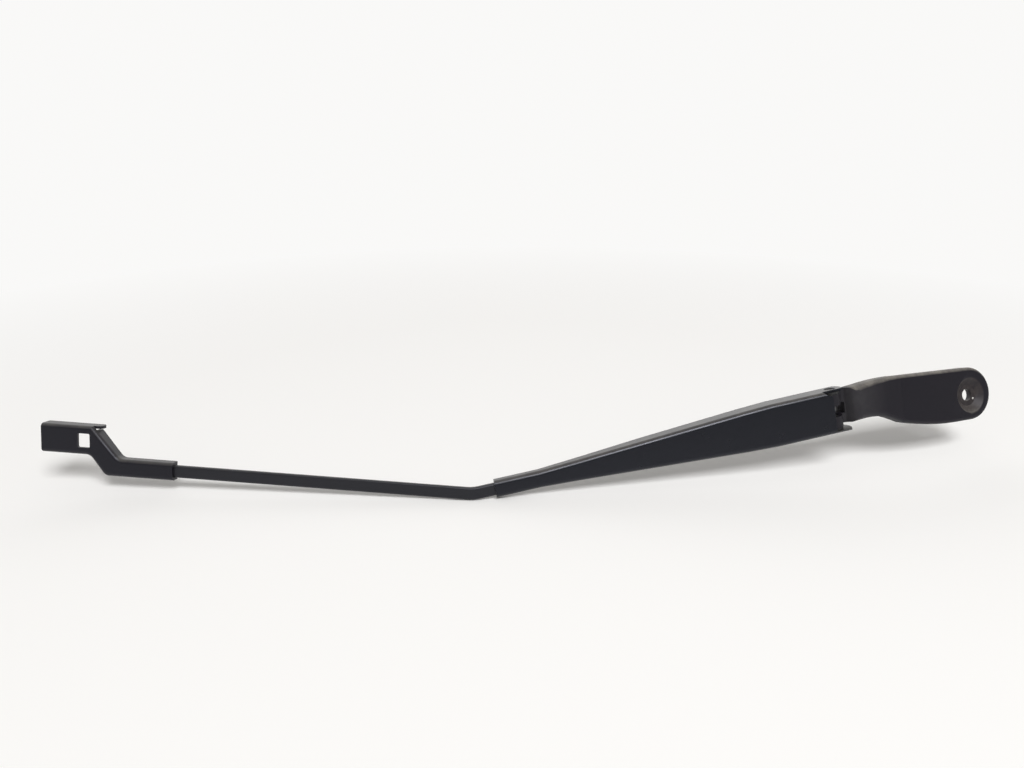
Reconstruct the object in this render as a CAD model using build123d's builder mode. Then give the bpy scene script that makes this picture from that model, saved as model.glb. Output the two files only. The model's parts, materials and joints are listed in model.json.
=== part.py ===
# Windscreen wiper arm for a car: mounting head, sprung hinge, folded channel, flat bar and blade holder.
# Millimetres. The origin is on the spindle axis, in the plane of the nut's seat in the head.
# +X runs from the blade end to the spindle, -Y points out from the glass, +Z is up.
# The arm lies tilted in this frame: the spindle axis leans from +Y towards -Z, the hinge a little less.
import os
from math import acos, cos, degrees, pi, radians, sin, sqrt, tan

from build123d import *

os.makedirs("parts", exist_ok=True)

# Fits, as radial or one-sided clearances
running_fit = 0.05
side_play = 0.25
swing_gap = 0.5

# How far an open cut runs on past the metal
beyond = 60.0

# Mounting head
spindle_lean = 20.0
head_end_radius = 18.7
head_end_x = 0.2
head_end_up = 1.0
crown_rise = 1.3
flare_start = 14.0
flare_radius = 192.0
neck_share = 0.53
neck_steps = 7
neck_ease = 1.4
neck_lap = 2.0
waist = 3.2
seam = 0.02
head_edge_radius = 2.6
shoulder_edge_radius = 4.6
spindle_thickness = 8.6
root_thickness = 9.4
dish_rim_radius = 12.2
dish_seat_radius = 7.8
dish_depth = 3.5
dish_lip = 0.9
dish_lip_depth = 0.5
stud_hole_radius = 4.3
stud_hole_length = 1.7
taper_radius = 5.6
pocket_plate = 4.4
pocket_wall = 3.8
pocket_end = -24.0
pocket_corner = 4.0

# Hinge
hinge_x = -117.0
hinge_z = 3.2
hinge_depth = 8.0
hinge_lean = 14.0
channel_rise = 7.0
hinge_droop = 11.0
lug_half_width = 11.6
lug_radius = 6.0
nose_reach = 7.2
nose_radius = 3.0
nose_gap = 0.3
link_slot = 7.5
pin_radius = 2.5
bush_wall = 1.05
bush_flange_radius = 5.6
bush_flange = 1.4
bush_inset = 0.4
rivet_inset = 0.2
countersink_radius = 3.7
anchor_u = 5.0
anchor_v = 6.0
anchor_pin_radius = 2.0
anchor_pin_inset = 0.4
anchor_lug_radius = 4.4
shoulder_foot = 9.3
shoulder_top = 14.2
shoulder_flat = 4.0
shoulder_rounding = 6.0
shoulder_drop = 10.6
shoulder_step = 1.3
gusset_half_width = 9.0
gusset_end = 46.0
gusset_back = 9.0

# Arm channel
sheet = 1.5
fold_radius = 3.0
channel_length = 233.5
crimp_length = 29.5
ear_reach = 7.7
lower_ear_reach = 11.0
ear_front = 3.8
web_end = 2.1
scallop_middle = 2.3
scallop_radius = 6.0
scallop_rise = 3.0
rivet_recess = 0.7
channel_half_width = lug_half_width + bush_flange + side_play + sheet
taper_start = 44.0
taper_ease = 20.0
taper_start_half = 13.9
taper_end = channel_length - 55.0
taper_end_half = 6.9
wall_back_hinge = 6.0
wall_straight = 20.0
wall_back_middle = 3.5
wall_middle_from_crimp = 100.0
wall_middle = channel_length - wall_middle_from_crimp
wall_bend_radius = 60.0
crimp_bend_radius = 12.0
crimp_slit = 2.0

# Arm bar
bar_width = 8.2
bar_thickness = 3.6
bar_edge = 1.5
bend_from_hinge = channel_length + 14.5
bend_radius = 26.0
bend_back = 10.2
bend_side = 14.7
bar_reach = 233.6
bar_inner_end = 112.0
hook_tab_left = 108.6
hook_tab_width = 4.2
hook_tab_top = 2.4
hook_tab_root = 3.0
hook_tab_bend = 1.2
hook_tab_corner = 3.0

# Blade holder
holder_sheet = 1.8
holder_fold = 2.6
holder_depth = 9.5
sleeve_start = bar_reach - 38.5
sleeve_end = bar_reach + 6.8
sleeve_half = bar_width / 2 + holder_sheet
cradle_start = sleeve_end + 8.0
cradle_end = cradle_start + 33.5
cradle_width = 19.0
cradle_offset = 16.8
crank_low = sleeve_end + 10.0
crank_high = sleeve_end - 9.5
crank_corner = 6.0
sleeve_corner = 5.0
wall_fall_start = 6.0
wall_fall_end = 3.0
window_length = 8.1
window_width = 9.3
window_corner = 1.0
window_s = cradle_start + 5.3
window_t = cradle_offset
tab_reach = 5.5
tab_root = 6.0
tab_notch = 1.4
tab_gap = 0.6
tab_corner = 2.4

# Spring and link
link_length = 27.0
link_thickness = 4.5
link_eye_radius = 3.2
wire_radius = 1.0
coil_radius = 3.8
hook_leg = 4.0
hook_seat = 2.15
hook_down = 1.0
eye_play = 0.15
hook_sink = 1.0
coil_skin = 0.1

# Planes of the spindle and the hinge; the hinge is set out from the middle of the dish in the face
lean = radians(spindle_lean)
spindle_side = Plane(origin=(0, 0, 0), x_dir=(1, 0, 0), z_dir=(0, sin(lean), cos(lean)))
face_centre = spindle_side.from_local_coords(Vector(0, -dish_depth, 0))
rise = radians(channel_rise)
tip = radians(hinge_lean)
hinge_front = Plane(
    origin=face_centre + Vector(hinge_x, 0, hinge_z),
    x_dir=(cos(rise), 0, sin(rise)),
    z_dir=(-sin(rise) * cos(tip), sin(tip), cos(rise) * cos(tip)),
)
hinge = Plane(
    origin=hinge_front.from_local_coords(Vector(0, hinge_depth, 0)),
    x_dir=hinge_front.x_dir,
    z_dir=hinge_front.z_dir,
)

# Planes of the channel: side is (along, depth), plan is (along, across) on the hinge axis
channel_side = Plane(
    origin=hinge.origin,
    x_dir=hinge.x_dir.rotate(Axis((0, 0, 0), hinge.z_dir), -hinge_droop),
    z_dir=hinge.z_dir,
)
channel_plan = Plane(origin=hinge.origin, x_dir=channel_side.x_dir, z_dir=-channel_side.y_dir)
web_front = -hinge_depth
web_back = web_front + sheet
bar_back = web_back + bar_thickness
crimp_back = bar_back + sheet
bar_middle = web_back + bar_thickness / 2


def on_channel(u, n, t=0.0):
    return channel_side.from_local_coords(Vector(u, n, t))


def corners_at(x):
    return vertices().filter_by_position(Axis.X, x - 0.1, x + 0.1)


# Direction of the bar beyond its bend, and the plane of the blade holder there
bend_point = on_channel(-bend_from_hinge, bar_middle)
toward_blade = -channel_side.x_dir
back_turn = radians(bend_back)
side_turn = radians(bend_side)
bar_direction = (
    toward_blade * (cos(side_turn) * cos(back_turn))
    + channel_side.y_dir * (cos(side_turn) * sin(back_turn))
    + channel_side.z_dir * sin(side_turn)
)
bend_angle = degrees(acos(toward_blade.dot(bar_direction)))
bend_axis = Axis((0, 0, 0), toward_blade.cross(bar_direction))
holder_plan = Plane(
    origin=bend_point,
    x_dir=bar_direction,
    z_dir=channel_side.y_dir.rotate(bend_axis, bend_angle),
)
holder_face = -(bar_thickness / 2 + holder_sheet)

# Spindle end of the head, flat in the leaning face: its edges meet the round end smoothly
face_plan = Plane(origin=face_centre, x_dir=(1, 0, 0), z_dir=-spindle_side.y_dir)
neck_x = neck_share * hinge_x
crown_turn = radians(crown_rise)
crown_start = Vector(
    head_end_x + head_end_radius * sin(crown_turn), head_end_up + head_end_radius * cos(crown_turn)
)
flare_point = Vector(head_end_x - flare_start, head_end_up - head_end_radius)


def crown_height(x):
    return crown_start.Y + (crown_start.X - x) * tan(crown_turn)


def flare_height(x):
    return flare_point.Y + flare_radius - sqrt(flare_radius**2 - (x - flare_point.X) ** 2)


# Sections of the slightly twisted neck, from inside the flat end to the shoulder and on to the ears' ends:
# each is a plane, the heights of its two edges, its thickness and the rounding of its edges
shoulder_start = shoulder_top + shoulder_flat
shoulder_half = channel_half_width - shoulder_step
neck_foot = face_plan.from_local_coords(Vector(neck_x, 0, 0))
neck_head = hinge.from_local_coords(Vector(shoulder_start, -hinge_depth, 0))


def neck_section(share):
    turn = lean + (tip - lean) * share * share * (3 - 2 * share)
    tilt = rise * share
    place = Plane(
        origin=neck_foot + (neck_head - neck_foot) * share,
        x_dir=(-sin(tilt) * cos(turn), sin(turn), cos(tilt) * cos(turn)),
        z_dir=(cos(tilt), 0, sin(tilt)),
    )
    top = crown_height(neck_x) - seam
    bottom = flare_height(neck_x) + seam
    return (
        place,
        top + (shoulder_half - top) * share**neck_ease,
        bottom - (shoulder_drop + bottom) * share + waist * sin(pi * share),
        spindle_thickness - seam + (root_thickness - spindle_thickness) * share,
        head_edge_radius + (shoulder_edge_radius - head_edge_radius) * share,
    )


inside_x = neck_x + neck_lap
inside_place = Plane(neck_foot + Vector(neck_lap, 0, 0), x_dir=face_plan.y_dir, z_dir=(1, 0, 0))
ear_place = Plane(
    origin=hinge.from_local_coords(Vector(ear_reach - neck_lap, -hinge_depth, 0)),
    x_dir=hinge.z_dir,
    z_dir=hinge.x_dir,
)
neck_sections = [
    (
        inside_place,
        crown_height(inside_x) - seam,
        flare_height(inside_x) + seam,
        spindle_thickness - seam,
        head_edge_radius,
    ),
    *(neck_section(step / neck_steps) for step in range(neck_steps + 1)),
    (ear_place, shoulder_half, -shoulder_drop, root_thickness, shoulder_edge_radius),
]

with BuildPart() as mounting_head:
    with BuildSketch(face_plan):
        with BuildLine():
            crown_end = (neck_x, crown_height(neck_x))
            flare_end = (neck_x, flare_height(neck_x))
            Line(crown_end, (crown_start.X, crown_start.Y))
            ThreePointArc(
                (crown_start.X, crown_start.Y),
                (head_end_x + head_end_radius, head_end_up),
                (head_end_x, head_end_up - head_end_radius),
            )
            Line((head_end_x, head_end_up - head_end_radius), (flare_point.X, flare_point.Y))
            RadiusArc((flare_point.X, flare_point.Y), flare_end, flare_radius)
            Line(flare_end, crown_end)
        make_face()
    extrude(amount=-spindle_thickness)
    rim = mounting_head.faces().filter_by(
        lambda f: f.normal_at().dot(face_plan.z_dir) > 0.99
    )[0].outer_wire().edges()
    fillet(rim.filter_by(lambda e: abs(e.tangent_at(0.5).X) > 0.01), radius=head_edge_radius)
    for place, top, bottom, thickness, edge in neck_sections:
        with BuildSketch(place):
            with BuildLine():
                Line((bottom, -thickness), (bottom, -edge))
                RadiusArc((bottom, -edge), (bottom + edge, -seam), edge)
                Line((bottom + edge, -seam), (top - edge, -seam))
                RadiusArc((top - edge, -seam), (top, -edge), edge)
                Polyline((top, -edge), (top, -thickness), (bottom, -thickness))
            make_face()
    loft(ruled=True)
    # The face falls away to the valley beside the hinge, and the sides clear the ends of the ears.
    with BuildSketch(hinge.offset(-beyond)):
        with BuildLine():
            Polyline(
                (-beyond, -beyond),
                (shoulder_start, -beyond),
                (shoulder_start, -hinge_depth),
                (shoulder_top, -hinge_depth),
                (shoulder_foot, -swing_gap),
                (anchor_u, -swing_gap),
                (anchor_u, beyond),
                (-beyond, beyond),
                close=True,
            )
        make_face()
        fillet(corners_at(shoulder_top), radius=shoulder_rounding)
        fillet(corners_at(shoulder_foot), radius=shoulder_rounding / 2)
    extrude(amount=2 * beyond, mode=Mode.SUBTRACT)
    with BuildSketch(hinge.offset(lug_half_width)):
        Circle(ear_reach + swing_gap)
    extrude(amount=beyond, mode=Mode.SUBTRACT)
    # Lugs round the hinge axis, and a gusset that ties them to the back of the neck
    nose = Vector(-nose_reach, web_back + nose_gap + nose_radius).rotate(Axis.Z, -hinge_droop)
    with BuildSketch(hinge.offset(-lug_half_width)):
        with BuildLine():
            CenterArc((0, 0), lug_radius, 0, 360)
            CenterArc((nose.X, nose.Y), nose_radius, 0, 360)
            CenterArc((anchor_u, anchor_v), anchor_lug_radius, 0, 360)
        make_hull()
    extrude(amount=2 * lug_half_width)
    with BuildSketch(hinge.offset(-gusset_half_width)):
        with BuildLine():
            Polyline(
                (anchor_u, -swing_gap),
                (gusset_end, 0),
                (anchor_u + 2 * anchor_lug_radius, gusset_back),
                (anchor_u, gusset_back),
                close=True,
            )
        make_face()
    extrude(amount=2 * gusset_half_width)
    # Slot for the link between the two lugs
    with BuildSketch(hinge.offset(-link_slot / 2)):
        with Locations((anchor_u + anchor_lug_radius - beyond / 2, 0)):
            Rectangle(beyond, 2 * beyond)
    extrude(amount=link_slot, mode=Mode.SUBTRACT)
    # Bores for the bushes and for the anchor pin
    with BuildSketch(hinge.offset(-lug_half_width)):
        Circle(pin_radius + running_fit + bush_wall)
        with Locations((anchor_u, anchor_v)):
            Circle(anchor_pin_radius)
    extrude(amount=2 * lug_half_width, mode=Mode.SUBTRACT)
    # Dish for the nut, stud hole and tapered bore on the spindle axis
    with BuildSketch(spindle_side):
        with BuildLine():
            Polyline(
                (0, -dish_depth - dish_lip),
                (dish_rim_radius + dish_lip, -dish_depth - dish_lip),
                (dish_rim_radius + dish_lip, -dish_depth),
                (dish_rim_radius, -dish_depth + dish_lip_depth),
                (dish_seat_radius, 0),
                (stud_hole_radius, 0),
                (stud_hole_radius, stud_hole_length),
                (taper_radius, spindle_thickness - dish_depth),
                (taper_radius, spindle_thickness),
                (0, spindle_thickness),
                close=True,
            )
        make_face()
    revolve(axis=Axis((0, 0, 0), spindle_side.y_dir), mode=Mode.SUBTRACT)
    # Lightening pocket in the back of the flat end, one wall in from its edges
    with BuildSketch(face_plan.offset(-pocket_plate)):
        with BuildLine():
            Polyline(
                (neck_x + pocket_wall, crown_height(neck_x) - pocket_wall),
                (pocket_end, crown_height(pocket_end) - pocket_wall),
                (pocket_end, flare_height(pocket_end) + pocket_wall),
                (neck_x + pocket_wall, flare_height(neck_x) + pocket_wall),
                close=True,
            )
        make_face()
        fillet(vertices(), radius=pocket_corner)
    extrude(amount=-spindle_thickness, mode=Mode.SUBTRACT)
mounting_head.part.label = "mounting_head"
export_step(mounting_head.part, "parts/mounting_head.step")

# Flanged bushes pressed into the lugs, one on each side
bush_outer = pin_radius + running_fit + bush_wall
lug_inner = link_slot / 2
bush_inner_end = lug_inner + bush_inset
with BuildPart() as hinge_bush_upper:
    with BuildSketch(hinge.offset(lug_half_width)):
        Circle(bush_flange_radius)
    extrude(amount=bush_flange)
    with BuildSketch(hinge.offset(bush_inner_end)):
        Circle(bush_outer)
    extrude(amount=lug_half_width - bush_inner_end)
    with BuildSketch(hinge):
        Circle(pin_radius + running_fit)
    extrude(amount=beyond, mode=Mode.SUBTRACT)
hinge_bush_upper.part.label = "hinge_bush_upper"
export_step(hinge_bush_upper.part, "parts/hinge_bush_upper.step")

with BuildPart() as hinge_bush_lower:
    with BuildSketch(hinge.offset(-lug_half_width - bush_flange)):
        Circle(bush_flange_radius)
    extrude(amount=bush_flange)
    with BuildSketch(hinge.offset(-lug_half_width)):
        Circle(bush_outer)
    extrude(amount=lug_half_width - bush_inner_end)
    with BuildSketch(hinge):
        Circle(pin_radius + running_fit)
    extrude(amount=-beyond, mode=Mode.SUBTRACT)
hinge_bush_lower.part.label = "hinge_bush_lower"
export_step(hinge_bush_lower.part, "parts/hinge_bush_lower.step")

# Hinge rivets: a shank in each bush and a countersunk head set a little below the ear's face
ear_outer = channel_half_width
ear_inner = channel_half_width - sheet
rivet_end = ear_outer - rivet_recess
rivet_inner_end = bush_inner_end + rivet_inset
rivet_head_radius = countersink_radius - (countersink_radius - pin_radius) * rivet_recess / sheet
with BuildPart() as hinge_rivet_upper:
    with BuildSketch(hinge.offset(rivet_inner_end)):
        Circle(pin_radius)
    extrude(amount=rivet_end - rivet_inner_end)
    with BuildSketch(hinge.offset(ear_inner)):
        Circle(pin_radius)
    with BuildSketch(hinge.offset(rivet_end)):
        Circle(rivet_head_radius)
    loft()
hinge_rivet_upper.part.label = "hinge_rivet_upper"
export_step(hinge_rivet_upper.part, "parts/hinge_rivet_upper.step")

with BuildPart() as hinge_rivet_lower:
    with BuildSketch(hinge.offset(-rivet_end)):
        Circle(pin_radius)
    extrude(amount=rivet_end - rivet_inner_end)
    with BuildSketch(hinge.offset(-rivet_end)):
        Circle(rivet_head_radius)
    with BuildSketch(hinge.offset(-ear_inner)):
        Circle(pin_radius)
    loft()
hinge_rivet_lower.part.label = "hinge_rivet_lower"
export_step(hinge_rivet_lower.part, "parts/hinge_rivet_lower.step")

# Cross pin in the head that the spring's link hangs on
with BuildPart() as spring_anchor_pin:
    with BuildSketch(hinge.offset(-lug_half_width + anchor_pin_inset)):
        with Locations((anchor_u, anchor_v)):
            Circle(anchor_pin_radius)
    extrude(amount=2 * (lug_half_width - anchor_pin_inset))
spring_anchor_pin.part.label = "spring_anchor_pin"
export_step(spring_anchor_pin.part, "parts/spring_anchor_pin.step")

# Folded channel: the outside is the plan outline cut to the side profile, and the inside follows it
crimp_start = channel_length - crimp_length
crimp_half = bar_width / 2 + sheet


def half_plan(inset):
    return [
        (taper_start, channel_half_width - inset),
        (taper_start + taper_ease, taper_start_half - inset),
        (taper_end, taper_end_half - inset),
        (crimp_start, crimp_half - inset),
    ]


with BuildPart() as arm_channel:
    with BuildSketch(channel_plan.offset(-web_front)):
        with BuildLine():
            upper = [(-u, w) for u, w in half_plan(0)]
            lower = [(u, -w) for u, w in reversed(upper)]
            Polyline(
                (lower_ear_reach, channel_half_width),
                *upper,
                (-channel_length, crimp_half),
                (-channel_length, -crimp_half),
                *lower,
                (lower_ear_reach, -channel_half_width),
                close=True,
            )
        make_face()
    extrude(amount=-beyond)
    with BuildSketch(channel_side):
        with BuildLine():
            Polyline(
                (-channel_length, web_front),
                (lower_ear_reach, web_front),
                (lower_ear_reach, wall_back_hinge),
                (-wall_straight, wall_back_hinge),
                (-wall_middle, wall_back_middle),
                (-crimp_start, crimp_back),
                (-channel_length, crimp_back),
                close=True,
            )
        make_face()
        fillet(corners_at(-wall_middle), radius=wall_bend_radius)
        fillet(corners_at(-crimp_start), radius=crimp_bend_radius)
    extrude(amount=beyond, both=True, mode=Mode.INTERSECT)
    web = arm_channel.faces().filter_by(
        lambda f: f.geom_type == GeomType.PLANE and f.normal_at().dot(channel_side.y_dir) < -0.99
    ).sort_by(SortBy.AREA)[-1]
    long_edges = web.edges().filter_by(
        lambda e: abs(e.tangent_at(0.5).dot(channel_side.z_dir)) < 0.5
    )
    fillet(long_edges, radius=fold_radius)
    # Inside of the folded sheet, open to the glass side
    with BuildPart(mode=Mode.PRIVATE) as channel_inside:
        with BuildSketch(channel_plan.offset(-web_back)):
            with BuildLine():
                inner = [(-u, w) for u, w in half_plan(sheet)]
                inner_lower = [(u, -w) for u, w in reversed(inner)]
                Polyline(
                    (lower_ear_reach + beyond, channel_half_width - sheet),
                    *inner,
                    *inner_lower,
                    (lower_ear_reach + beyond, -channel_half_width + sheet),
                    close=True,
                )
            make_face()
        extrude(amount=-beyond)
        roof = channel_inside.faces().filter_by(
            lambda f: f.geom_type == GeomType.PLANE and f.normal_at().dot(channel_side.y_dir) < -0.99
        ).sort_by(SortBy.AREA)[-1]
        roof_edges = roof.edges().filter_by(
            lambda e: abs(e.tangent_at(0.5).dot(channel_side.z_dir)) < 0.5
        )
        fillet(roof_edges, radius=fold_radius - sheet)
    add(channel_inside.part, mode=Mode.SUBTRACT)
    # The crimp grips the bar, with a slit where the folded edges meet
    with BuildSketch(channel_side):
        with Locations((-channel_length + crimp_length / 2 - 1, (web_back + bar_back) / 2)):
            Rectangle(crimp_length + 4, bar_thickness)
    extrude(amount=bar_width / 2, both=True, mode=Mode.SUBTRACT)
    with BuildSketch(channel_side):
        with Locations((-channel_length + crimp_length / 2 - 1, crimp_back)):
            Rectangle(crimp_length + 4, 2 * sheet + 1)
    extrude(amount=crimp_slit / 2, both=True, mode=Mode.SUBTRACT)
    # The web stops short of the hinge, and a scallop in the upper fold parts it from the ear
    with BuildSketch(channel_plan.offset(beyond - web_front)):
        with Locations((beyond / 2 - web_end, 2 * channel_half_width - sheet)):
            Rectangle(beyond, 6 * channel_half_width - 4 * sheet)
        with Locations((-scallop_middle, channel_half_width + scallop_rise)):
            Circle(scallop_radius)
    extrude(amount=-(beyond - web_front - ear_front), mode=Mode.SUBTRACT)
    # Rounded ends of the ears, each about the hinge axis
    with BuildSketch(channel_side):
        with Locations((beyond / 2, 0)):
            Rectangle(beyond, beyond)
        Circle(ear_reach, mode=Mode.SUBTRACT)
    extrude(amount=beyond, mode=Mode.SUBTRACT)
    with BuildSketch(channel_side):
        with Locations((beyond / 2, 0)):
            Rectangle(beyond, beyond)
        Circle(lower_ear_reach, mode=Mode.SUBTRACT)
    extrude(amount=-beyond, mode=Mode.SUBTRACT)
    # Countersunk rivet holes in the ears
    with BuildSketch(hinge.offset(ear_inner)):
        Circle(pin_radius)
    with BuildSketch(hinge.offset(ear_outer)):
        Circle(countersink_radius)
    loft(mode=Mode.SUBTRACT)
    with BuildSketch(hinge.offset(-ear_inner)):
        Circle(pin_radius)
    with BuildSketch(hinge.offset(-ear_outer)):
        Circle(countersink_radius)
    loft(mode=Mode.SUBTRACT)
arm_channel.part.label = "arm_channel"
export_step(arm_channel.part, "parts/arm_channel.step")

# Flat bar: swept round its bend, with an upturned tab at the inner end for the spring
with BuildPart() as arm_bar:
    with BuildLine():
        FilletPolyline(
            on_channel(-bar_inner_end, bar_middle),
            bend_point,
            bend_point + bar_direction * bar_reach,
            radius=bend_radius,
        )
    with BuildSketch(Plane(
        origin=on_channel(-bar_inner_end, bar_middle),
        x_dir=channel_side.z_dir,
        z_dir=toward_blade,
    )):
        RectangleRounded(bar_width, bar_thickness, bar_edge)
    sweep()
    with BuildSketch(channel_side):
        with BuildLine():
            Polyline(
                (-bar_inner_end - hook_tab_root, web_back),
                (-hook_tab_left + bar_thickness, web_back),
                (-hook_tab_left + bar_thickness, hook_tab_top),
                (-hook_tab_left, hook_tab_top),
                (-hook_tab_left, bar_back),
                (-bar_inner_end - hook_tab_root, bar_back),
                close=True,
            )
        make_face()
        fillet(corners_at(-hook_tab_left).sort_by(Axis.Y)[0], radius=hook_tab_bend)
        fillet(corners_at(-hook_tab_left + bar_thickness).sort_by(Axis.Y)[0], radius=hook_tab_corner)
    extrude(amount=hook_tab_width / 2, both=True)
arm_bar.part.label = "arm_bar"
export_step(arm_bar.part, "parts/arm_bar.step")

# Blade holder: a pan pressed to the cranked outline, crimped on the bar and open at the blade end
cradle_low = cradle_offset - cradle_width / 2
cradle_high = cradle_offset + cradle_width / 2
holder_side = Plane(origin=bend_point, x_dir=bar_direction, z_dir=-holder_plan.y_dir)
holder_back = holder_face + holder_depth
sleeve_back = bar_thickness / 2 + holder_sheet
flange_inner = cradle_high - holder_sheet
tab_depth = holder_depth - holder_fold - tab_gap


def holder_outline(start, end):
    return [
        (start, -sleeve_half),
        (sleeve_end, -sleeve_half),
        (crank_low, cradle_low),
        (end, cradle_low),
        (end, cradle_high),
        (cradle_start, cradle_high),
        (crank_high, sleeve_half),
        (start, sleeve_half),
    ]


with BuildPart() as blade_holder:
    with BuildSketch(holder_plan.offset(holder_face)):
        with BuildLine():
            Polyline(*holder_outline(sleeve_start, cradle_end), close=True)
        make_face()
        fillet(corners_at(crank_high), radius=crank_corner)
        fillet(corners_at(sleeve_end), radius=sleeve_corner)
        fillet(corners_at(crank_low), radius=crank_corner)
    extrude(amount=holder_depth)
    pan = blade_holder.faces().filter_by(
        lambda f: f.geom_type == GeomType.PLANE and f.normal_at().dot(holder_plan.z_dir) < -0.99
    ).sort_by(SortBy.AREA)[-1]
    pan_edges = pan.edges().filter_by(
        lambda e: abs(e.tangent_at(0.5).dot(holder_plan.y_dir)) < 0.99 or e.length < cradle_width / 2
    )
    fillet(pan_edges, radius=holder_fold)
    # Inside of the pan, from the end of the crimp to the open blade end
    with BuildSketch(holder_plan.offset(holder_face + holder_sheet)):
        with BuildLine():
            Polyline(*holder_outline(sleeve_start - beyond, cradle_end + beyond), close=True)
        make_face()
        fillet(corners_at(crank_high), radius=crank_corner)
        fillet(corners_at(sleeve_end), radius=sleeve_corner)
        fillet(corners_at(crank_low), radius=crank_corner)
        offset(amount=-holder_sheet)
        with Locations((bar_reach + 2 * beyond, 0)):
            Rectangle(4 * beyond, 2 * beyond, mode=Mode.INTERSECT)
    extrude(amount=beyond, mode=Mode.SUBTRACT)
    # Bar socket and slit of the crimp
    with BuildSketch(holder_side):
        with Locations(((sleeve_start + bar_reach) / 2, 0)):
            Rectangle(bar_reach - sleeve_start + 4, bar_thickness)
    extrude(amount=bar_width / 2, both=True, mode=Mode.SUBTRACT)
    with BuildSketch(holder_side):
        with Locations(((sleeve_start + bar_reach) / 2, beyond / 2)):
            Rectangle(bar_reach - sleeve_start + 4, beyond)
    extrude(amount=crimp_slit / 2, both=True, mode=Mode.SUBTRACT)
    # The walls are shallower along the crimp
    with BuildSketch(holder_side):
        with BuildLine():
            Polyline(
                (sleeve_start - beyond, sleeve_back),
                (bar_reach - wall_fall_start, sleeve_back),
                (cradle_start + wall_fall_end, holder_back),
                (cradle_start + wall_fall_end, beyond),
                (sleeve_start - beyond, beyond),
                close=True,
            )
        make_face()
    extrude(amount=beyond, both=True, mode=Mode.SUBTRACT)
    # The upper flange runs on as a free tab, parted from the shoulder by a notch
    with BuildSketch(holder_plan.offset(holder_face + holder_fold)):
        with Locations((cradle_start, flange_inner - tab_notch / 2)):
            Rectangle(2 * tab_reach, tab_notch)
    extrude(amount=beyond, mode=Mode.SUBTRACT)
    with BuildSketch(holder_side.offset(-cradle_high)):
        with Locations((cradle_start + (tab_root - tab_reach) / 2, holder_back - tab_depth / 2)):
            RectangleRounded(tab_reach + tab_root, tab_depth, tab_corner)
    extrude(amount=holder_sheet)
    # Window for the blade's button
    with BuildSketch(holder_plan.offset(holder_face - holder_sheet)):
        with Locations((window_s, window_t)):
            RectangleRounded(window_length, window_width, window_corner)
    extrude(amount=3 * holder_sheet, mode=Mode.SUBTRACT)
blade_holder.part.label = "blade_holder"
export_step(blade_holder.part, "parts/blade_holder.step")

# Link between the anchor pin and the spring, and the line the spring pulls along
anchor_point = hinge.from_local_coords(Vector(anchor_u, anchor_v, 0))
far_hook = on_channel(-hook_tab_left - hook_seat, -hook_down)
pull = (far_hook - anchor_point).normalized()
eye_point = anchor_point + pull * link_length
eye = hinge.to_local_coords(eye_point)
with BuildPart() as spring_link:
    with BuildSketch(hinge.offset(-link_thickness / 2)):
        with BuildLine():
            CenterArc((anchor_u, anchor_v), link_eye_radius, 0, 360)
            CenterArc((eye.X, eye.Y), link_eye_radius, 0, 360)
        make_hull()
        with Locations((anchor_u, anchor_v)):
            Circle(anchor_pin_radius + running_fit, mode=Mode.SUBTRACT)
        with Locations((eye.X, eye.Y)):
            Circle(2.2 * wire_radius, mode=Mode.SUBTRACT)
    extrude(amount=link_thickness)
spring_link.part.label = "spring_link"
export_step(spring_link.part, "parts/spring_link.step")

# Tension spring: hooks of six-sided wire, and the coil as a plain tube of its inner and outer size
near_hook = eye_point - pull * eye_play
spring_span = (far_hook - near_hook).length
coil_start = coil_radius + hook_leg
coil_length = spring_span - 2 * coil_start
leg_side = hinge.z_dir * coil_radius
near_turn = near_hook + pull * coil_radius
far_turn = far_hook - pull * coil_radius
turn_axis = pull.cross(hinge.z_dir)
with BuildPart() as tension_spring:
    with BuildSketch(Plane(origin=near_turn + leg_side, z_dir=pull)):
        RegularPolygon(wire_radius, 6)
    extrude(amount=hook_leg + hook_sink)
    with BuildSketch(Plane(origin=near_turn + leg_side, z_dir=pull)):
        RegularPolygon(wire_radius, 6)
    revolve(axis=Axis(near_turn, turn_axis), revolution_arc=180)
    with BuildSketch(Plane(origin=far_turn + leg_side, z_dir=-pull)):
        RegularPolygon(wire_radius, 6)
    extrude(amount=hook_leg + hook_sink)
    with BuildSketch(Plane(origin=far_turn + leg_side, z_dir=-pull)):
        RegularPolygon(wire_radius, 6)
    revolve(axis=Axis(far_turn, -turn_axis), revolution_arc=180)
    with BuildSketch(Plane(origin=near_hook + pull * coil_start, z_dir=pull)):
        Circle(coil_radius + wire_radius + coil_skin)
        Circle(coil_radius - wire_radius - coil_skin, mode=Mode.SUBTRACT)
    extrude(amount=coil_length)
tension_spring.part.label = "tension_spring"
export_step(tension_spring.part, "parts/tension_spring.step")
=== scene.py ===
# Looks of a car windscreen wiper arm: black coatings, hinge metal, the wound spring and a plain studio.
# Metres, in the part's own frame: -Y out from the glass, +X towards the spindle, +Z up.
import json
from math import asin, pi, radians

import bmesh
import bpy
from bpy.props import FloatProperty, FloatVectorProperty, IntProperty, PointerProperty
from mathutils import Matrix, Vector


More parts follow.
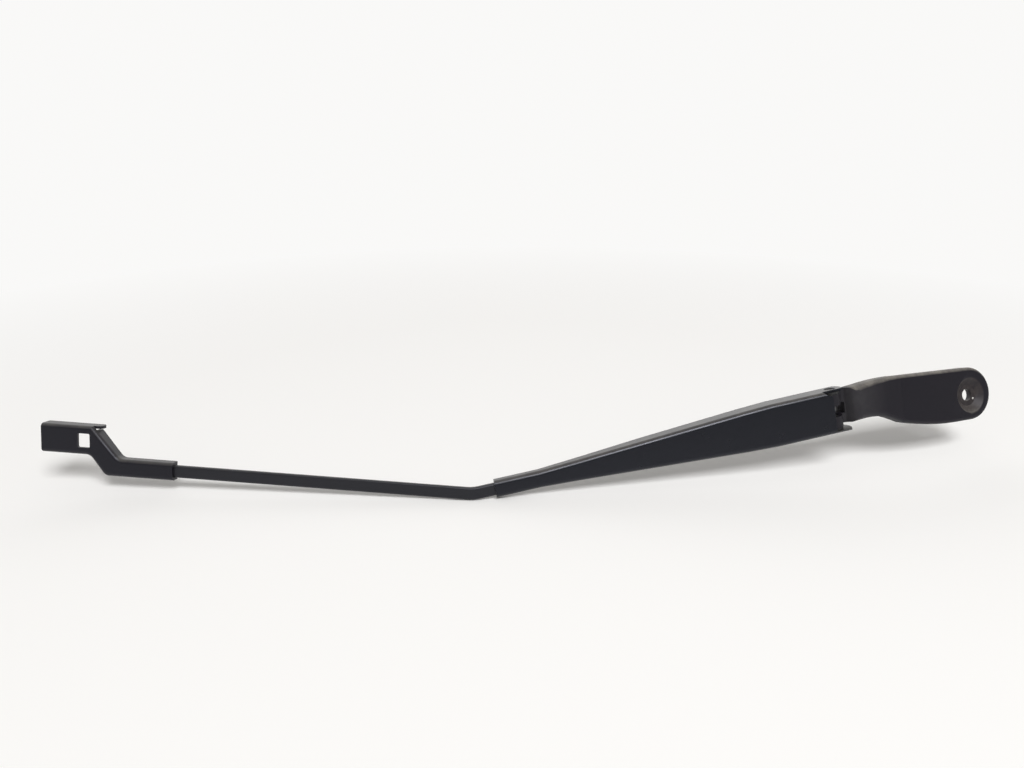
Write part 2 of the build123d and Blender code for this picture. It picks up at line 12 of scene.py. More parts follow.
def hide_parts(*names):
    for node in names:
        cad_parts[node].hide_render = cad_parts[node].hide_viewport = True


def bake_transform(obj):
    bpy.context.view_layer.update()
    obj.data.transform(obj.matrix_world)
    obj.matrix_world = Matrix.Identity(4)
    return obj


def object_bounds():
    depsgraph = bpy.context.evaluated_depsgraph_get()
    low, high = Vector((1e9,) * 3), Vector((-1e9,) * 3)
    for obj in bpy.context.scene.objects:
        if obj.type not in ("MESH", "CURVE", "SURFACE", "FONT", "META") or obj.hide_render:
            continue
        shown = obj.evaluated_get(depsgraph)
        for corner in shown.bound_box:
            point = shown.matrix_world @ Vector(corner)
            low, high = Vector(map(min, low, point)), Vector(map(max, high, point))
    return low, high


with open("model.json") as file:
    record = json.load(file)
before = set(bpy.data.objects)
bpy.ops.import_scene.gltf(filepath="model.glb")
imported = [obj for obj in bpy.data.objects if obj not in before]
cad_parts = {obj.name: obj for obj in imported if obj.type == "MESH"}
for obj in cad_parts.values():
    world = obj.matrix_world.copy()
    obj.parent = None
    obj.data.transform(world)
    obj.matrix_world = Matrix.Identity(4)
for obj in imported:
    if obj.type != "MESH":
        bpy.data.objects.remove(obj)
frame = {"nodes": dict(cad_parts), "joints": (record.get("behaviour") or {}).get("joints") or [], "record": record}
CAD_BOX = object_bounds()

bl_info = {
    "name": "Wiper Arm Looks",
    "version": (1, 0, 0),
    "blender": (4, 5, 0),
    "location": "View3D > Sidebar > Wiper Arm",
    "description": "Coats a windscreen wiper arm, winds its spring and sets a studio round it",
    "category": "Object",
}

MM = 0.001

# Points closer than this are joined to one
WELD_GAP = 0.001 * MM


def axis_of(rows, name):
    """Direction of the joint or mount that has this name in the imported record."""
    return next(tuple(row["axis"]) for row in rows if row["name"] == name)


HINGE_LINE = axis_of(frame["joints"], "arm_lift")
SPINDLE_LINE = axis_of(frame["record"]["mounts"], "spindle_bore")

# A place along X past the blade end: dust and painted highlight that begin there lie all along a piece
PAST_BLADE_END = -1.0

# Steps of the wire's sweep along one turn of the coil, half a hook and a bend
TURN_STEPS = 16
HOOK_STEPS = 10
BEND_STEPS = 4

# How many times paler than its coat a rubbed edge is, a paleness that is both edge wear and a painted highlight,
# and the share of its colour that stained steel keeps
EDGE_PALER_WEAR_AND_HIGHLIGHT = 3.2
STAINED_LEVEL = 0.55

# The colour sockets of a mix node, which has sockets for each kind of value
MIX_COLOURS = (6, 7)
MIX_RESULT = 2

# The Y of a reflected direction where the room is dimmest and where it has its full light
DIM_FRONT = -0.5
FULL_BACK = 0.2


class CoatSettings(bpy.types.PropertyGroup):
    """Colours, wear and painted light of the black coatings."""

    head_colour: FloatVectorProperty(
        name="Head colour", description="Matt coating on the cast head",
        subtype="COLOR", size=3, min=0, max=1, default=(0.0085, 0.0072, 0.0102),
    )
    channel_colour: FloatVectorProperty(
        name="Channel colour", description="Smooth coating on the folded channel",
        subtype="COLOR", size=3, min=0, max=1, default=(0.0024, 0.0028, 0.0048),
    )
    bar_colour: FloatVectorProperty(
        name="Bar colour", description="Coating on the flat bar",
        subtype="COLOR", size=3, min=0, max=1, default=(0.0092, 0.009, 0.0104),
    )
    holder_colour: FloatVectorProperty(
        name="Holder colour", description="Coating on the pressed blade holder",
        subtype="COLOR", size=3, min=0, max=1, default=(0.0072, 0.0066, 0.0092),
    )
    sheen_colour: FloatVectorProperty(
        name="Sheen colour", description="Cool tint of what the coats reflect",
        subtype="COLOR", size=3, min=0, max=1, default=(0.86, 0.88, 1.0),
    )
    rubbed_colour: FloatVectorProperty(
        name="Rubbed colour", description="Coat rubbed thin by the nut in the head's dish",
        subtype="COLOR", size=3, min=0, max=1, default=(0.042, 0.035, 0.033),
    )
    # A pale bare-metal spot in the dish: a chip that is also a painted glint.
    chip_and_glint_colour: FloatVectorProperty(
        name="Chip colour", description="Bare metal where the coat is chipped off",
        subtype="COLOR", size=3, min=0, max=1, default=(0.5, 0.49, 0.47),
    )
    # Dust on the upward faces, which also paints highlights on the top faces and top edges.
    dust_and_highlight_colour: FloatVectorProperty(
        name="Dust colour", description="Dust lying on the upward faces",
        subtype="COLOR", size=3, min=0, max=1, default=(0.24, 0.222, 0.196),
    )
    # Painted light: a pale colour on the sides of the head's neck that stands in for light reflected into its
    # shaded curve near the hinge.
    neck_painted_light_colour: FloatVectorProperty(
        name="Haze colour", description="Thin dust on the sides of the head's neck",
        subtype="COLOR", size=3, min=0, max=1, default=(0.034, 0.032, 0.034),
    )
    grain: FloatProperty(
        name="Grain", description="Width of the coating's fine grain",
        unit="LENGTH", default=0.7 * MM, min=0.1 * MM,
    )
    grain_height: FloatProperty(
        name="Grain height", description="Height of the coating's fine grain",
        unit="LENGTH", default=0.05 * MM, min=0,
    )
    # Width of the pale edges, which are both rubbed wear and painted highlights.
    edge: FloatProperty(
        name="Edge", description="Width of the rubbed edges and painted highlight",
        unit="LENGTH", default=0.5 * MM, min=0.1 * MM,
    )
    # Where the dust and painted highlight on the head begin, and the length over which they and the neck's painted
    # light fade at the lugs.
    dust_and_highlight_start: FloatProperty(
        name="Dust start", description="Where the dust on the head begins, past its lugs",
        unit="LENGTH", default=-107 * MM,
    )
    dust_highlight_and_neck_light_fade: FloatProperty(
        name="Dust fade", description="Length over which dust and haze change at the lugs",
        unit="LENGTH", default=4 * MM, min=0.1 * MM,
    )
    # Where the painted light on the neck begins, and the length over which it thickens towards the hinge.
    neck_painted_light_start: FloatProperty(
        name="Haze start", description="Where the haze begins, on the way to the hinge",
        unit="LENGTH", default=-76 * MM,
    )
    neck_painted_light_reach: FloatProperty(
        name="Haze reach", description="Length over which the haze thickens",
        unit="LENGTH", default=31 * MM, min=1 * MM,
    )
    dish_radius: FloatProperty(
        name="Dish radius", description="Rim of the dish for the spindle's nut",
        unit="LENGTH", default=12.6 * MM,
    )
    dish_depth: FloatProperty(
        name="Dish depth", description="How far behind the nut's seat the rubbing begins to fade",
        unit="LENGTH", default=2 * MM, min=0.1 * MM,
    )
    chip_and_glint_radius: FloatProperty(
        name="Chip radius", description="Size of the chip in the dish",
        unit="LENGTH", default=0.75 * MM,
    )
    chip_and_glint_place: FloatVectorProperty(
        name="Chip place", description="Where the coat is chipped, in the dish",
        subtype="TRANSLATION", size=3, default=(5.4 * MM, -1.0 * MM, -2.8 * MM), precision=6,
    )


class HingeSettings(bpy.types.PropertyGroup):
    """Colours of the small pieces in the hinge."""

    link_colour: FloatVectorProperty(
        name="Link colour", description="Plated steel of the link and the pin",
        subtype="COLOR", size=3, min=0, max=1, default=(0.33, 0.33, 0.335),
    )
    bush_colour: FloatVectorProperty(
        name="Bush colour", description="Dark plastic of the bushes",
        subtype="COLOR", size=3, min=0, max=1, default=(0.016, 0.016, 0.017),
    )
    scuffed_colour: FloatVectorProperty(
        name="Scuffed colour", description="Paler patches on the bushes",
        subtype="COLOR", size=3, min=0, max=1, default=(0.026, 0.026, 0.027),
    )


class SpringSettings(bpy.types.PropertyGroup):
    """Sizes and colour of the wound tension spring."""

    wire_colour: FloatVectorProperty(
        name="Wire colour", description="Dull steel of the spring's wire",
        subtype="COLOR", size=3, min=0, max=1, default=(0.2, 0.2, 0.205),
    )
    wire_radius: FloatProperty(
        name="Wire radius", description="Radius of the spring wire",
        unit="LENGTH", default=1.0 * MM, min=0.2 * MM,
    )
    coil_radius: FloatProperty(
        name="Coil radius", description="Radius at the middle of the wire",
        unit="LENGTH", default=3.8 * MM,
    )
    hook_leg: FloatProperty(
        name="Hook leg", description="Wire between coil and hook",
        unit="LENGTH", default=4.0 * MM,
    )
    bend: FloatProperty(
        name="Bend", description="Radius where the wire leaves the coil",
        unit="LENGTH", default=0.9 * MM,
    )
    turns: IntProperty(name="Turns", description="Turns of the coil", default=31, min=4, max=60)
    sides: IntProperty(name="Sides", description="Sides of the round wire", default=10, min=6, max=24)
    near_hook: FloatVectorProperty(
        name="Near hook", description="Where the wire hangs in the link's eye",
        subtype="TRANSLATION", size=3, default=(-137.9735 * MM, 13.507 * MM, -2.3973 * MM), precision=6,
    )
    far_hook: FloatVectorProperty(
        name="Far hook", description="Where the wire hangs in the bar's end",
        subtype="TRANSLATION", size=3, default=(-224.2643 * MM, 24.0254 * MM, -15.6347 * MM), precision=6,
    )


class StageSettings(bpy.types.PropertyGroup):
    """Floor, lamps, sky and camera."""

    middle: FloatVectorProperty(
        name="Middle", description="Where the lamps look, and what the floor fades away from",
        subtype="TRANSLATION", size=3, default=(-0.3, 0.06, 0),
    )
    floor_colour: FloatVectorProperty(
        name="Floor colour", description="Pale floor under the arm",
        subtype="COLOR", size=3, min=0, max=1, default=(0.93, 0.926, 0.92),
    )
    floor_half: FloatProperty(
        name="Floor half", description="Half the width of the floor", unit="LENGTH", default=6,
    )
    floor_gap: FloatProperty(
        name="Floor gap", description="Air between the floor and the arm's lowest point",
        unit="LENGTH", default=0.3 * MM,
    )
    fade_start: FloatProperty(
        name="Fade start", description="Distance from the middle where the floor begins to fade",
        unit="LENGTH", default=0.4,
    )
    fade_end: FloatProperty(
        name="Fade end", description="Distance from the middle where only the backdrop is seen",
        unit="LENGTH", default=0.9,
    )
    backdrop_colour: FloatVectorProperty(
        name="Backdrop colour", description="What the camera sees behind the floor",
        subtype="COLOR", size=3, min=0, max=1, default=(0.95, 0.945, 0.935),
    )
    key_power: FloatProperty(
        name="Key power", description="Power of the lamp above and in front", unit="POWER", default=130,
    )
    key_size: FloatVectorProperty(
        name="Key size", description="Width and depth of the lamp above and in front",
        unit="LENGTH", size=2, default=(1.8, 1.5),
    )
    key_place: FloatVectorProperty(
        name="Key place", description="Where the lamp above and in front hangs",
        subtype="TRANSLATION", size=3, default=(-0.3, -2.5, 3.2),
    )
    back_power: FloatProperty(
        name="Back power", description="Power of the long lamp behind", unit="POWER", default=7,
    )
    back_size: FloatVectorProperty(
        name="Back size", description="Width and depth of the long lamp behind",
        unit="LENGTH", size=2, default=(3.4, 0.9),
    )
    back_place: FloatVectorProperty(
        name="Back place", description="Where the long lamp behind stands",
        subtype="TRANSLATION", size=3, default=(-0.3, 1.6, 0.75),
    )
    sky_colour: FloatVectorProperty(
        name="Sky colour", description="Tint of the even light all round",
        subtype="COLOR", size=3, min=0, max=1, default=(1, 0.975, 0.935),
    )
    sky: FloatProperty(name="Sky", description="Strength of the even light all round", default=0.37)
    front_level: FloatProperty(
        name="Front level", description="How bright the room in front is in reflections",
        subtype="FACTOR", min=0, max=1, default=0.28,
    )
    camera_place: FloatVectorProperty(
        name="Camera place", description="Where the camera stands",
        subtype="TRANSLATION", size=3, default=(-0.4848, -0.374989, 0.196897), precision=6,
    )
    camera_azimuth: FloatProperty(
        name="Camera azimuth", description="Turn of the camera about the vertical",
        subtype="ANGLE", default=radians(-20),
    )
    camera_tilt: FloatProperty(
        name="Camera tilt", description="Fall of the camera's line of sight",
        subtype="ANGLE", default=radians(20),
    )
    lens: FloatProperty(
        name="Lens", description="Focal length on a sensor 36 mm wide, in millimetres",
        unit="CAMERA", default=27.07,
    )


# Nodes


def set_input(tree, socket, value):
    """Links a node's input to another socket, or sets it to a value."""
    if isinstance(value, bpy.types.NodeSocket):
        tree.links.new(value, socket)
    else:
        socket.default_value = value


def maths(tree, operation, first, second, clamp=False):
    """A maths node on two sockets or numbers."""
    node = tree.nodes.new("ShaderNodeMath")
    node.operation = operation
    node.use_clamp = clamp
    set_input(tree, node.inputs[0], first)
    set_input(tree, node.inputs[1], second)
    return node.outputs[0]


def vector_maths(tree, operation, first, second=None):
    """A vector maths node on a socket and, where it takes two, a second socket or three numbers."""
    node = tree.nodes.new("ShaderNodeVectorMath")
    node.operation = operation
    set_input(tree, node.inputs[0], first)
    if second is not None:
        set_input(tree, node.inputs[1], second)
    return node.outputs["Vector" if operation == "CROSS_PRODUCT" else "Value"]


def axis_part(tree, vector, axis):
    """One axis of a vector socket."""
    node = tree.nodes.new("ShaderNodeSeparateXYZ")
    tree.links.new(vector, node.inputs[0])
    return node.outputs[axis]


def coordinates(tree, kind):
    """A coordinate: Object for places and Normal for the way a face looks, or Generated for the sky."""
    return tree.nodes.new("ShaderNodeTexCoord").outputs[kind]


def noise(tree, scale, detail=2.0, roughness=0.5):
    """Noise in the piece's own coordinates; the scale is in waves a metre, a number or a socket."""
    node = tree.nodes.new("ShaderNodeTexNoise")
    tree.links.new(coordinates(tree, "Object"), node.inputs["Vector"])
    set_input(tree, node.inputs["Scale"], scale)
    node.inputs["Detail"].default_value = detail
    node.inputs["Roughness"].default_value = roughness
    return node.outputs["Fac"]


def ranged(tree, value, low, high, new_low=0.0, new_high=1.0):
    """Maps low..high of a value to a new range, held at its ends."""
    node = tree.nodes.new("ShaderNodeMapRange")
    for slot, number in (
        ("Value", value), ("From Min", low), ("From Max", high), ("To Min", new_low), ("To Max", new_high),
    ):
        set_input(tree, node.inputs[slot], number)
    return node.outputs["Result"]


def mixed(tree, share, first, second):
    """Mixes two colours by a share; each is a socket or three numbers."""
    node = tree.nodes.new("ShaderNodeMix")
    node.data_type = "RGBA"
    tree.links.new(share, node.inputs["Factor"])
    for slot, value in zip(MIX_COLOURS, (first, second)):
        colour = value if isinstance(value, bpy.types.NodeSocket) else (*value, 1)
        set_input(tree, node.inputs[slot], colour)
    return node.outputs[MIX_RESULT]


def mixed_shaders(tree, share, first, second, output):
    """Mixes two shaders by a share and leads the result to an output node."""
    node = tree.nodes.new("ShaderNodeMixShader")
    for slot, socket in enumerate((share, first.outputs[0], second.outputs[0])):
        tree.links.new(socket, node.inputs[slot])
    tree.links.new(node.outputs[0], tree.nodes[output].inputs["Surface"])


# Effects that the coatings share


def new_group(name, inputs, outputs):
    """A shader node group with number sockets."""
    group = bpy.data.node_groups.new(name, "ShaderNodeTree")
    for names, way in ((inputs, "INPUT"), (outputs, "OUTPUT")):
        for socket in names:
            group.interface.new_socket(socket, in_out=way, socket_type="NodeSocketFloat")
    given = group.nodes.new("NodeGroupInput").outputs
    result = group.nodes.new("NodeGroupOutput").inputs
    return group, given, result


def coat_group(name):
    """Fine grain of a sprayed coat: a height for the bump and an uneven gloss."""
    group, given, result = new_group(name, ("Grain", "Roughness", "Mottle"), ("Height", "Roughness"))
    fine = noise(group, maths(group, "DIVIDE", 1, given["Grain"]), detail=3.0, roughness=0.55)
    cloud = noise(group, 55.0, detail=4.0, roughness=0.6)
    shift = maths(group, "MULTIPLY", maths(group, "SUBTRACT", cloud, 0.5), given["Mottle"])
    group.links.new(fine, result["Height"])
    group.links.new(maths(group, "ADD", given["Roughness"], shift, clamp=True), result["Roughness"])
    return group


def dust_and_highlight_group(name):
    """Mask of the dust on faces that look up in the piece's rest place, beyond a place along X; the same mask
    paints highlights on those upward faces and top edges.
    """
    group, given, result = new_group(name, ("Amount", "Start", "Fade"), ("Mask",))
    along = axis_part(group, coordinates(group, "Object"), "X")
    past_start = maths(group, "SUBTRACT", along, given["Start"])
    beyond = maths(group, "DIVIDE", past_start, given["Fade"], clamp=True)
    upward = ranged(group, axis_part(group, coordinates(group, "Normal"), "Z"), 0.42, 0.88)
    patchy = ranged(group, noise(group, 140.0, detail=5.0, roughness=0.62), 0.38, 0.68, 0.5, 1.0)
    lying = maths(group, "MULTIPLY", maths(group, "MULTIPLY", upward, beyond), patchy)
    group.links.new(maths(group, "MULTIPLY", lying, given["Amount"], clamp=True), result["Mask"])
    return group


def edge_wear_and_highlight_group(name):
    """Mask of the rubbed edges, which are both wear and painted highlights: where a widened edge looks another way
    than the face.
    """
    group, given, result = new_group(name, ("Width", "Amount"), ("Mask",))
    widened = group.nodes.new("ShaderNodeBevel")
    widened.samples = 4
    group.links.new(given["Width"], widened.inputs["Radius"])
    face = group.nodes.new("ShaderNodeNewGeometry")
    turn = vector_maths(group, "DOT_PRODUCT", widened.outputs["Normal"], face.outputs["Normal"])
    edge = ranged(group, turn, 0.985, 0.86)
    broken = ranged(group, noise(group, 420.0, detail=4.0, roughness=0.65), 0.46, 0.62)
    rubbed = maths(group, "MULTIPLY", edge, broken)
    group.links.new(maths(group, "MULTIPLY", rubbed, given["Amount"], clamp=True), result["Mask"])
    return group


def neck_painted_light_group(name):
    """Mask of painted light on the sides of the neck, which stands in for light reflected into its shaded curve
    near the hinge: it thickens towards the hinge and is thin on the lugs.
    """
    group, given, result = new_group(name, ("Start", "Reach", "Lugs", "Fade"), ("Mask",))
    along = axis_part(group, coordinates(group, "Object"), "X")
    beyond = maths(group, "SUBTRACT", given["Start"], along)
    thick = maths(group, "DIVIDE", beyond, given["Reach"], clamp=True)
    sides = ranged(group, axis_part(group, coordinates(group, "Normal"), "Z"), 0.6, 0.35)
    before_lugs = maths(group, "DIVIDE", maths(group, "SUBTRACT", along, given["Lugs"]), given["Fade"])
    thinned = ranged(group, before_lugs, -1.0, 0.0, 0.3, 1.0)
    patchy = ranged(group, noise(group, 160.0, detail=4.0, roughness=0.6), 0.35, 0.65, 0.7, 1.0)
    lying = maths(group, "MULTIPLY", maths(group, "MULTIPLY", thick, sides), thinned)
    group.links.new(maths(group, "MULTIPLY", lying, patchy), result["Mask"])
    return group


def dish_group(name):
    """Mask of the dish round the spindle's axis, in the front of the head, rubbed unevenly."""
    group, given, result = new_group(name, ("Radius", "Depth"), ("Mask",))
    place = coordinates(group, "Object")
    across = vector_maths(group, "LENGTH", vector_maths(group, "CROSS_PRODUCT", place, SPINDLE_LINE))
    within = ranged(group, maths(group, "DIVIDE", across, given["Radius"]), 1.03, 0.94)
    behind = vector_maths(group, "DOT_PRODUCT", place, SPINDLE_LINE)
    front = ranged(group, maths(group, "DIVIDE", behind, given["Depth"]), 1.5, 1.0)
    patchy = ranged(group, noise(group, 190.0, detail=4.0, roughness=0.6), 0.35, 0.65, 0.45, 1.0)
    dish = maths(group, "MULTIPLY", within, front)
    group.links.new(maths(group, "MULTIPLY", dish, patchy), result["Mask"])
    return group


def chip_and_glint_group(name):
    """Mask of one chip in the coat, with a ragged rim; the pale spot is also a painted glint."""
    group, given, result = new_group(name, ("Radius",), ("Mask",))
    chip_and_glint_place = bpy.context.scene.wiper_coat.chip_and_glint_place
    away = vector_maths(group, "DISTANCE", coordinates(group, "Object"), chip_and_glint_place)
    share = maths(group, "DIVIDE", away, given["Radius"])
    ragged = ranged(group, noise(group, 1800.0), 0.3, 0.7, -0.25, 0.25)
    group.links.new(ranged(group, maths(group, "ADD", share, ragged), 1.0, 0.9), result["Mask"])
    return group


# The dust mask also paints highlights on upward faces, the rubbed edges are also painted highlights, the neck mask
# is painted light and the chip is also a painted glint.
GROUPS = {
    "coat grain": coat_group,
    "settled dust and painted highlight": dust_and_highlight_group,
    "rubbed edges and painted highlight": edge_wear_and_highlight_group,
    "neck painted light": neck_painted_light_group,
    "rubbed dish": dish_group,
    "coat chip and painted glint": chip_and_glint_group,
}


def use_group(tree, name, **values):
    """Places a group, which is built the first time, sets its inputs and gives back its outputs."""
    node = tree.nodes.new("ShaderNodeGroup")
    node.node_tree = bpy.data.node_groups.get(name) or GROUPS[name](name)
    for key, value in values.items():
        node.inputs[key.capitalize()].default_value = value
    return node.outputs


# Materials


def new_material(name):
    """A material with nodes, its tree and its shader."""
    material = bpy.data.materials.new(name)
    material.use_nodes = True
    tree = material.node_tree
    return material, tree, tree.nodes["Principled BSDF"]


def coated(name, colour, roughness, specular, bump, dust, rub_and_highlight, dust_and_highlight_start=PAST_BLADE_END):
    """A sprayed black coat with grain, uneven gloss, a little dust that also paints highlights on upward faces,
    and lightly rubbed edges that are also painted highlights.
    """
    coats = bpy.context.scene.wiper_coat
    material, tree, shader = new_material(name)
    shader.inputs["Specular IOR Level"].default_value = specular
    shader.inputs["Specular Tint"].default_value = (*coats.sheen_colour, 1)
    grain = use_group(tree, "coat grain", grain=coats.grain, roughness=roughness, mottle=0.16)
    # Dust on upward faces that is also a painted highlight there; the dust amount sets both.
    dust_and_highlight = use_group(tree, "settled dust and painted highlight", amount=dust, start=dust_and_highlight_start, fade=coats.dust_highlight_and_neck_light_fade)
    # Edges painted paler: rubbed wear and a painted highlight along folds and edges.
    rubbed = use_group(tree, "rubbed edges and painted highlight", width=coats.edge, amount=rub_and_highlight)
    tone = mixed(tree, dust_and_highlight["Mask"], colour, coats.dust_and_highlight_colour)
    edge_wear_and_highlight_colour = tuple(EDGE_PALER_WEAR_AND_HIGHLIGHT * part for part in colour)
    tree.links.new(mixed(tree, rubbed["Mask"], tone, edge_wear_and_highlight_colour), shader.inputs["Base Color"])
    tree.links.new(grain["Roughness"], shader.inputs["Roughness"])
    lift = tree.nodes.new("ShaderNodeBump")
    lift.inputs["Strength"].default_value = bump
    lift.inputs["Distance"].default_value = coats.grain_height
    tree.links.new(grain["Height"], lift.inputs["Height"])
    tree.links.new(lift.outputs["Normal"], shader.inputs["Normal"])
    return material


def over(material, mask, colour):
    """Lays a colour over a material's own where the mask is one."""
    tree = material.node_tree
    base = tree.nodes["Principled BSDF"].inputs["Base Color"]
    tree.links.new(mixed(tree, mask, base.links[0].from_socket, colour), base)


def head_coating(coats):
    """The head's matt coat, with painted light on the sides of its neck, a rubbed dish and one chip that is also a
    painted glint.
    """
    material = coated(
        "head coating", coats.head_colour,
        roughness=0.5, specular=0.26, bump=0.22, dust=0.8, rub_and_highlight=0.5, dust_and_highlight_start=coats.dust_and_highlight_start,
    )
    tree = material.node_tree
    # Painted light on the sides of the neck, which lifts its shade near the hinge.
    neck_painted_light = use_group(
        tree, "neck painted light", start=coats.neck_painted_light_start, reach=coats.neck_painted_light_reach, lugs=coats.dust_and_highlight_start,
        fade=coats.dust_highlight_and_neck_light_fade,
    )
    over(material, neck_painted_light["Mask"], coats.neck_painted_light_colour)
    rubbed = use_group(tree, "rubbed dish", radius=coats.dish_radius, depth=coats.dish_depth)
    over(material, rubbed["Mask"], coats.rubbed_colour)
    # A pale spot in the dish: a chip of bare metal that is also a painted glint.
    chip = use_group(tree, "coat chip and painted glint", radius=coats.chip_and_glint_radius)
    over(material, chip["Mask"], coats.chip_and_glint_colour)
    return material


def metal(name, colour, roughness):
    """Dull plated steel with stains and uneven gloss."""
    coats = bpy.context.scene.wiper_coat
    material, tree, shader = new_material(name)
    shader.inputs["Metallic"].default_value = 1
    grain = use_group(tree, "coat grain", grain=coats.grain, roughness=roughness, mottle=0.3)
    stain = ranged(tree, noise(tree, 240.0, detail=5.0, roughness=0.6), 0.4, 0.7)
    dull = tuple(STAINED_LEVEL * part for part in colour)
    tree.links.new(mixed(tree, stain, colour, dull), shader.inputs["Base Color"])
    tree.links.new(grain["Roughness"], shader.inputs["Roughness"])
    return material


def bush_plastic(colours):
    """Dark plastic with paler patches."""
    material, tree, shader = new_material("bush plastic")
    shader.inputs["Specular IOR Level"].default_value = 0.4
    shader.inputs["Roughness"].default_value = 0.6
    scuffed = ranged(tree, noise(tree, 300.0, detail=4.0), 0.3, 0.7)
    tone = mixed(tree, scuffed, colours.bush_colour, colours.scuffed_colour)
    tree.links.new(tone, shader.inputs["Base Color"])
    return material


# Pieces


def add_piece(name, mesh):
    """Makes an object from a finished bmesh and puts it in the scene."""
    piece = bpy.data.objects.new(name, bpy.data.meshes.new(name))
    mesh.to_mesh(piece.data)
    mesh.free()
    bpy.context.scene.collection.objects.link(piece)
    return piece


def give(piece, material):
    """Sets one material on every face of a piece."""
    piece.data.materials.clear()
    piece.data.materials.append(material)


def soften(piece):
    """Smooth shading for a solid that comes as loose triangles, with its flat faces kept flat."""
    for polygon in piece.data.polygons:
        polygon.use_smooth = True
    weld = piece.modifiers.new("weld", "WELD")
    weld.merge_threshold = WELD_GAP
    split = piece.modifiers.new("split", "EDGE_SPLIT")
    split.split_angle = radians(32)
    normals = piece.modifiers.new("normals", "WEIGHTED_NORMAL")
    normals.weight = 50


def finish_solids(material, *names):
    """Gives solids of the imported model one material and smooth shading."""
    for name in names:
        solid = frame["nodes"][name]
        give(solid, material)
        soften(solid)


class WIPER_OT_coat(bpy.types.Operator):
    """Coats the head, the channel, the bar, the blade holder and the rivets"""

    bl_idname = "wiper.coat"
    bl_label = "Coat the Arm"

    def execute(self, context):
        coats = context.scene.wiper_coat
        # The dust and rub amounts also set the painted highlights on upward faces and on edges.
        channel = coated(
            "channel coating", coats.channel_colour,
            roughness=0.3, specular=0.46, bump=0.08, dust=0.28, rub_and_highlight=0.35,
        )
        bar = coated(
            "bar coating", coats.bar_colour,
            roughness=0.36, specular=0.46, bump=0.12, dust=0.08, rub_and_highlight=0.45,
        )
        holder = coated(
            "holder coating", coats.holder_colour,
            roughness=0.4, specular=0.36, bump=0.14, dust=0.25, rub_and_highlight=0.5,
        )
        finish_solids(head_coating(coats), "mounting_head")
        finish_solids(channel, "arm_channel", "hinge_rivet_upper", "hinge_rivet_lower")
        finish_solids(bar, "arm_bar")
        finish_solids(holder, "blade_holder")
        return {"FINISHED"}


class WIPER_OT_hinge_metal(bpy.types.Operator):
    """Gives the bushes, the pin and the link their plastic and steel"""

    bl_idname = "wiper.hinge_metal"
    bl_label = "Finish the Hinge Metal"

    def execute(self, context):
        colours = context.scene.wiper_hinge
        steel = metal("link steel", colours.link_colour, roughness=0.45)
        finish_solids(steel, "spring_anchor_pin", "spring_link")
        finish_solids(bush_plastic(colours), "hinge_bush_upper", "hinge_bush_lower")
        return {"FINISHED"}


def spun(mesh, ring, centre, axis, angle, steps, shift=(0, 0, 0)):
    """Sweeps the wire's open end round an axis and gives back the new end's edges."""
    result = bmesh.ops.spin(
        mesh, geom=ring, cent=centre, axis=axis, dvec=shift, angle=angle, steps=steps, use_merge=False,
    )
    return [part for part in result["geom_last"] if isinstance(part, bmesh.types.BMEdge)]


def drawn(mesh, ring, shift):
    """Draws the wire's open end out straight and gives back the new end's edges."""
    drawn_out = bmesh.ops.extrude_edge_only(mesh, edges=ring)["geom"]
    verts = {part for part in drawn_out if isinstance(part, bmesh.types.BMVert)}
    bmesh.ops.translate(mesh, verts=list(verts), vec=shift)
    return [part for part in drawn_out if isinstance(part, bmesh.types.BMEdge) and set(part.verts) <= verts]


class WIPER_OT_spring(bpy.types.Operator):
    """Winds the tension spring with its two hooks"""

    bl_idname = "wiper.spring"
    bl_label = "Wind the Spring"

    def execute(self, context):
        sizes = context.scene.wiper_spring
        near = Vector(sizes.near_hook)
        far = Vector(sizes.far_hook)
        pull = (far - near).normalized()
        hinge = Vector(HINGE_LINE).normalized()
        up = (hinge - pull * hinge.dot(pull)).normalized()
        side = pull.cross(up)
        radius = sizes.coil_radius
        straight = sizes.hook_leg - sizes.bend

        # The wire starts at the tip of the near hook and goes half round it.
        near_turn = near + pull * radius
        mesh = bmesh.new()
        tip = near_turn - up * radius
        turn = Matrix((side, up, -pull)).transposed().to_4x4()
        bmesh.ops.create_circle(
            mesh, cap_ends=False, segments=sizes.sides, radius=sizes.wire_radius,
            matrix=Matrix.Translation(tip) @ turn,
        )
        first = list(mesh.edges)
        ring = spun(mesh, first, near_turn, side, pi, HOOK_STEPS)
        ring = drawn(mesh, ring, pull * straight)

        # A tight bend turns it from along the pull to round the coil.
        bend_at = near_turn + up * radius + pull * straight + side * sizes.bend
        ring = spun(mesh, ring, bend_at, up, -pi / 2, BEND_STEPS)
        skip = asin(sizes.bend / radius)
        coil_start = near + pull * (radius + sizes.hook_leg)
        coil_span = (far - near).length - 2 * (radius + sizes.hook_leg)
        sweep = 2 * pi * sizes.turns - 2 * skip
        steps = TURN_STEPS * sizes.turns
        ring = spun(mesh, ring, coil_start, pull, -sweep, steps, pull * (coil_span / steps))

        # The same bend, leg and half hook at the far end.
        far_turn = far - pull * radius
        bend_at = far_turn + up * radius - pull * straight - side * sizes.bend
        ring = spun(mesh, ring, bend_at, up, pi / 2, BEND_STEPS)
        ring = drawn(mesh, ring, pull * straight)
        ring = spun(mesh, ring, far_turn, side, pi, HOOK_STEPS)
        for open_end in (ring, first):
            bmesh.ops.contextual_create(mesh, geom=open_end)
        bmesh.ops.remove_doubles(mesh, verts=mesh.verts, dist=WELD_GAP)
        bmesh.ops.recalc_face_normals(mesh, faces=mesh.faces)
        for face in mesh.faces:
            face.smooth = len(face.verts) == 4
        coil = add_piece("spring_coil", mesh)
        give(coil, metal("spring wire", sizes.wire_colour, roughness=0.42))
        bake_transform(coil)
        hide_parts("tension_spring")
        return {"FINISHED"}


